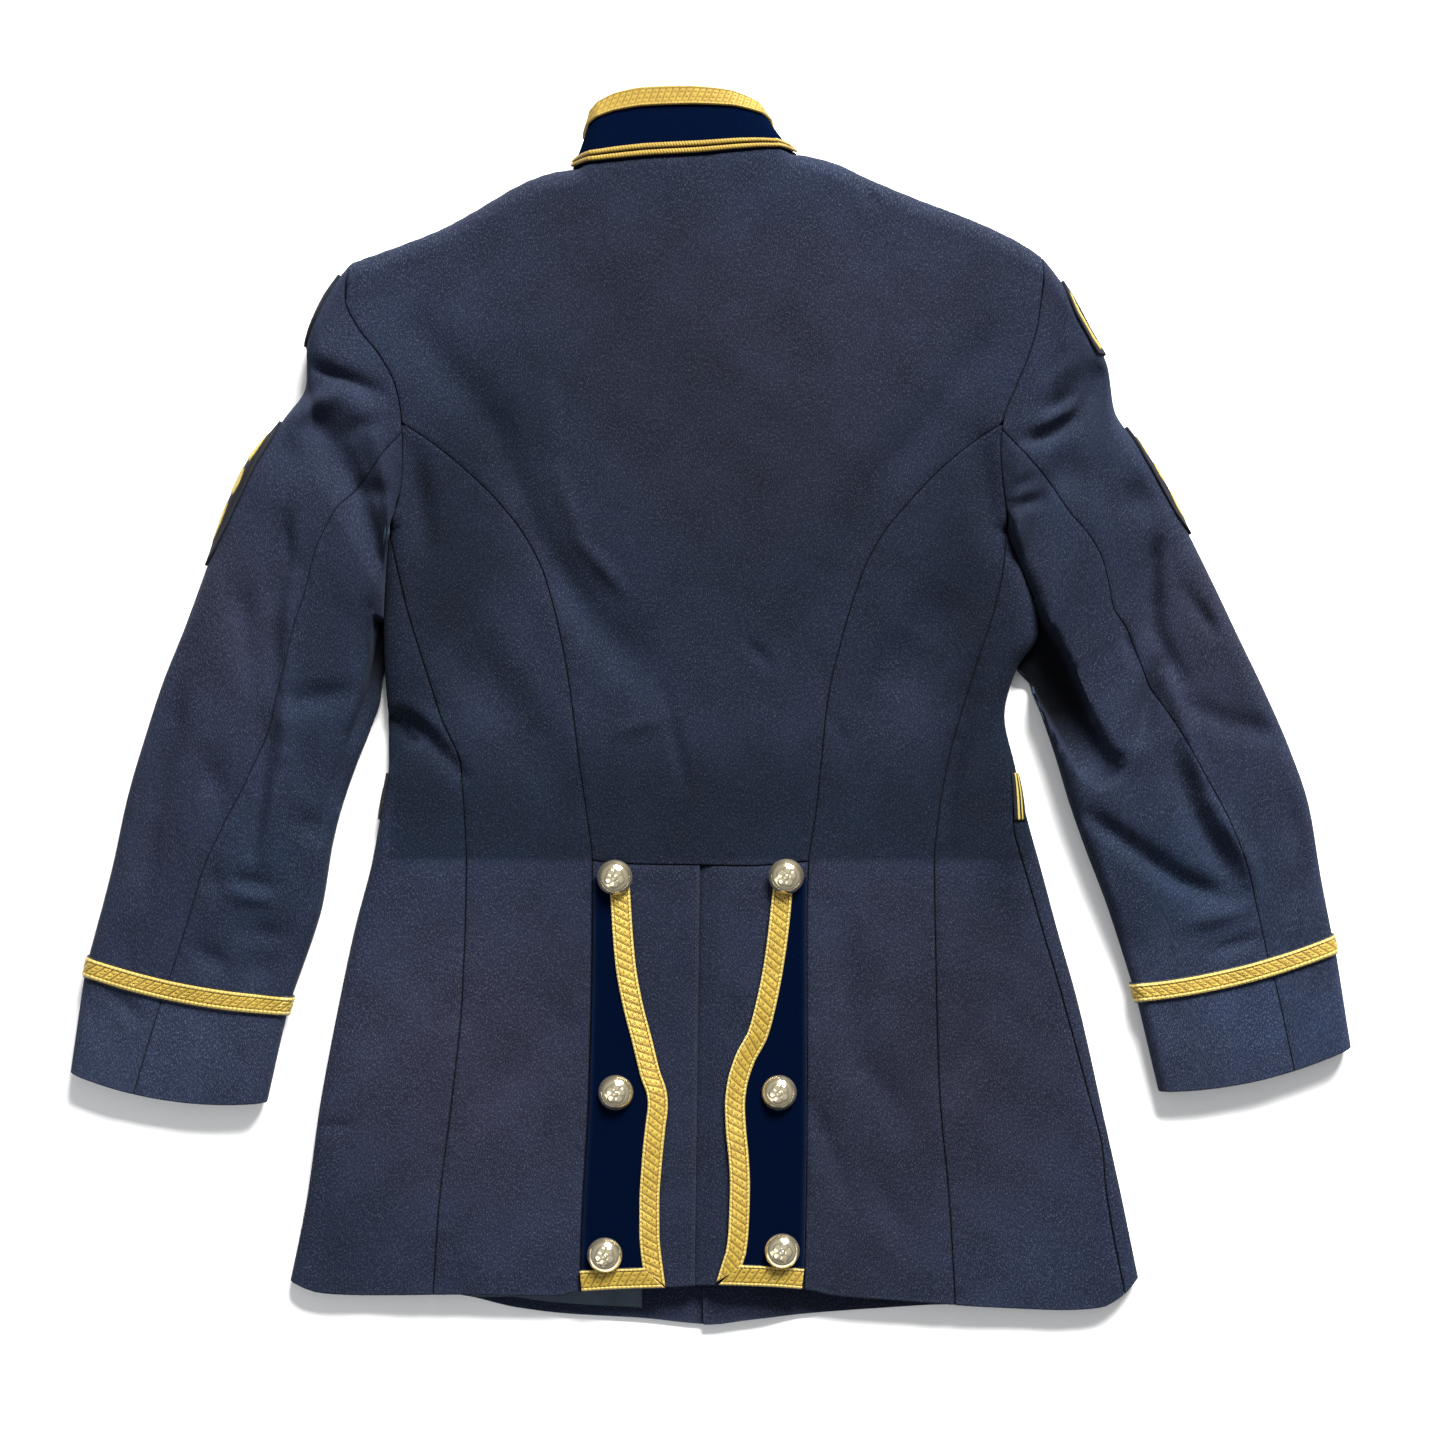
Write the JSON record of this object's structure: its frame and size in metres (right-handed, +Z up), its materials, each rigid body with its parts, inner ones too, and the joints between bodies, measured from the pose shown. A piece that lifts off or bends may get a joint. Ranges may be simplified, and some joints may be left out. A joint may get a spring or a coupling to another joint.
{
  "type": "dress uniform jacket",
  "caption": "Dress uniform jacket with a stand collar, two-piece sleeves, gold braid and buttoned tail flaps, laid flat with its back up.",
  "frame": {"origin": "centre of the laid jacket's outline, on the surface it lies on", "axes": "+X to the wearer's right, +Y towards the collar, +Z up from the surface, through the front to the back"},
  "size_m": [0.821, 0.7916, 0.034],
  "materials": {
    "wool": "blue-grey melange wool serge",
    "navy_cloth": "very dark navy wool facing cloth",
    "gold_lace": "woven gold lace with a corded edge",
    "gilt": "polished pale gilt",
    "badge_cloth": "black badge cloth with gold embroidery",
    "lining": "dark satin lining"
  },
  "bodies": {
    "root": {"back_centre": "wool", "back_side_left": "wool", "back_side_right": "wool", "side_body_left": "wool", "side_body_right": "wool", "front_left": "wool", "front_right": "wool", "skirt_centre_left": "wool", "skirt_centre_right": "wool", "top_sleeve_left": "wool", "top_sleeve_right": "wool", "under_sleeve_left": "wool", "under_sleeve_right": "wool", "collar": "navy_cloth", "collar_lace": "gold_lace", "collar_piping_lower": "gold_lace", "collar_piping_upper": "gold_lace", "tail_flap_left": "navy_cloth", "tail_flap_right": "navy_cloth", "tail_lace_left": "gold_lace", "tail_lace_right": "gold_lace", "tail_button_left_1": "gilt", "tail_button_left_2": "gilt", "tail_button_left_3": "gilt", "tail_button_right_1": "gilt", "tail_button_right_2": "gilt", "tail_button_right_3": "gilt", "cuff_lace_left": "gold_lace", "cuff_lace_right": "gold_lace", "belt_loop_left": "badge_cloth", "belt_loop_right": "badge_cloth", "shoulder_patch_left": "badge_cloth", "shoulder_patch_right": "badge_cloth", "chevron_patch_left": "badge_cloth", "chevron_patch_right": "badge_cloth", "lining_hem_left": "lining"}
  },
  "joints": []
}
